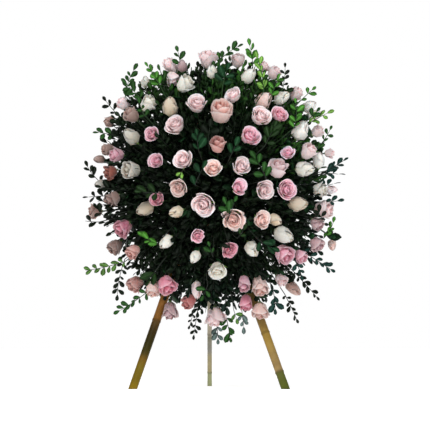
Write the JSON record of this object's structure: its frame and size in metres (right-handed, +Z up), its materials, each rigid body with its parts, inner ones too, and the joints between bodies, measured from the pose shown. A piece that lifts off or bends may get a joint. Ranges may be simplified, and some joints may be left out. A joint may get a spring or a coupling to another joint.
{
  "type": "standing funeral spray",
  "caption": "Domed spray of pink, white and peach roses in small-leaved greenery, standing on a bamboo tripod.",
  "frame": {"origin": "on the ground, at the middle of the part's box from left to right and front to back", "axes": "+Z up, -Y the flower face, +X to the right as seen from the front"},
  "size_m": [0.7674, 0.4996, 1.0268],
  "materials": {
    "bamboo": "satin bamboo cane with darker joints",
    "twine": "matte jute twine",
    "tray": "dark green moulded plastic",
    "tie_wire": "green coated wire",
    "foam": "soaked floral foam",
    "petals_white": "soft white petals",
    "petals_peach": "soft peach petals",
    "petals_blush": "soft blush petals",
    "petals_pink": "soft mid pink petals",
    "petals_deep": "soft deep pink petals",
    "leaves": "dark green leaves, half glossy"
  },
  "bodies": {
    "root": {"leg_front_left": "bamboo", "leg_front_right": "bamboo", "leg_back": "bamboo", "lashing": "twine", "holder_tray": "tray", "tie_left": "tie_wire", "tie_right": "tie_wire", "foam_block": "foam", "roses_inner_1": "petals_peach", "roses_inner_2": "petals_peach", "roses_inner_3": "petals_blush", "roses_middle_1": "petals_blush", "roses_middle_2": "petals_peach", "roses_middle_3": "petals_blush", "roses_middle_4": "petals_pink", "roses_middle_5": "petals_white", "roses_middle_6": "petals_deep", "roses_middle_7": "petals_white", "roses_middle_8": "petals_blush", "roses_outer_1": "petals_white", "roses_outer_2": "petals_white", "roses_outer_3": "petals_blush", "roses_outer_4": "petals_blush", "roses_outer_5": "petals_white", "roses_outer_6": "petals_blush", "roses_outer_7": "petals_blush", "roses_outer_8": "petals_peach", "roses_outer_9": "petals_peach", "roses_outer_10": "petals_blush", "roses_outer_11": "petals_blush", "roses_outer_12": "petals_peach", "roses_outer_13": "petals_pink", "roses_outer_14": "petals_pink", "roses_outer_15": "petals_blush", "greenery_top_left": "leaves", "greenery_top_middle_left": "leaves", "greenery_top_middle": "leaves", "greenery_top_middle_right": "leaves", "greenery_top_right": "leaves", "greenery_left_high": "leaves", "greenery_left_middle": "leaves", "greenery_left_low": "leaves", "greenery_right_high": "leaves", "greenery_right_middle": "leaves", "greenery_right_low": "leaves", "greenery_bottom_right": "leaves", "greenery_bottom_middle": "leaves", "greenery_bottom_left": "leaves", "greenery_low_left": "leaves", "greenery_front_upper": "leaves", "greenery_front_right": "leaves", "greenery_front_left": "leaves", "greenery_front_lower": "leaves", "greenery_back_left": "leaves", "greenery_back_right": "leaves", "greenery_back_top": "leaves", "greenery_back_low": "leaves"}
  },
  "joints": []
}
